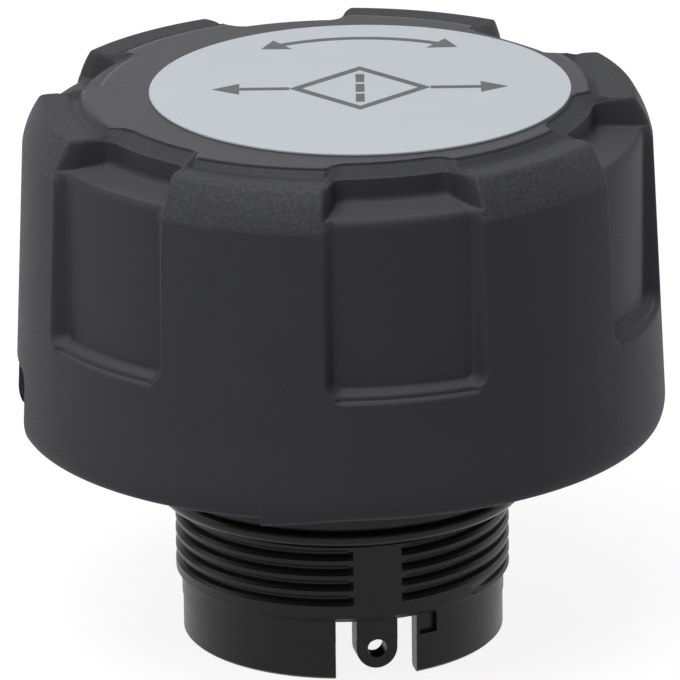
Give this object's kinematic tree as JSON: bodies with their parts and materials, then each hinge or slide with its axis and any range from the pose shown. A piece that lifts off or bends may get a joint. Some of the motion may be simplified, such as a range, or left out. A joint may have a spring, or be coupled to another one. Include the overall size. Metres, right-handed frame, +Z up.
{
  "type": "breather vent cap",
  "caption": "Black moulded breather cap with finger recesses over a pleated air filter, on a hollow threaded stub with a seal ring, for venting a tank.",
  "frame": {"origin": "on the axis at the lower end of the stub", "axes": "+Z up along the stub's axis to the top of the cap, front with the tongue at -Y"},
  "size_m": [0.0814, 0.0814, 0.0708],
  "materials": {
    "cap_plastic": "fine moulded grain",
    "label_film": "satin film",
    "base_plastic": "smooth moulded",
    "seal_rubber": "oiled",
    "filter_paper": "pleated paper",
    "element_plastic": "moulded"
  },
  "bodies": {
    "root": {"cap": "cap_plastic", "label": "label_film", "threaded_base": "base_plastic", "seal_ring": "seal_rubber", "element_gasket": "seal_rubber", "lower_end_disc": "element_plastic", "filter_media": "filter_paper", "core_tube": "element_plastic", "upper_end_disc": "element_plastic"}
  },
  "joints": []
}
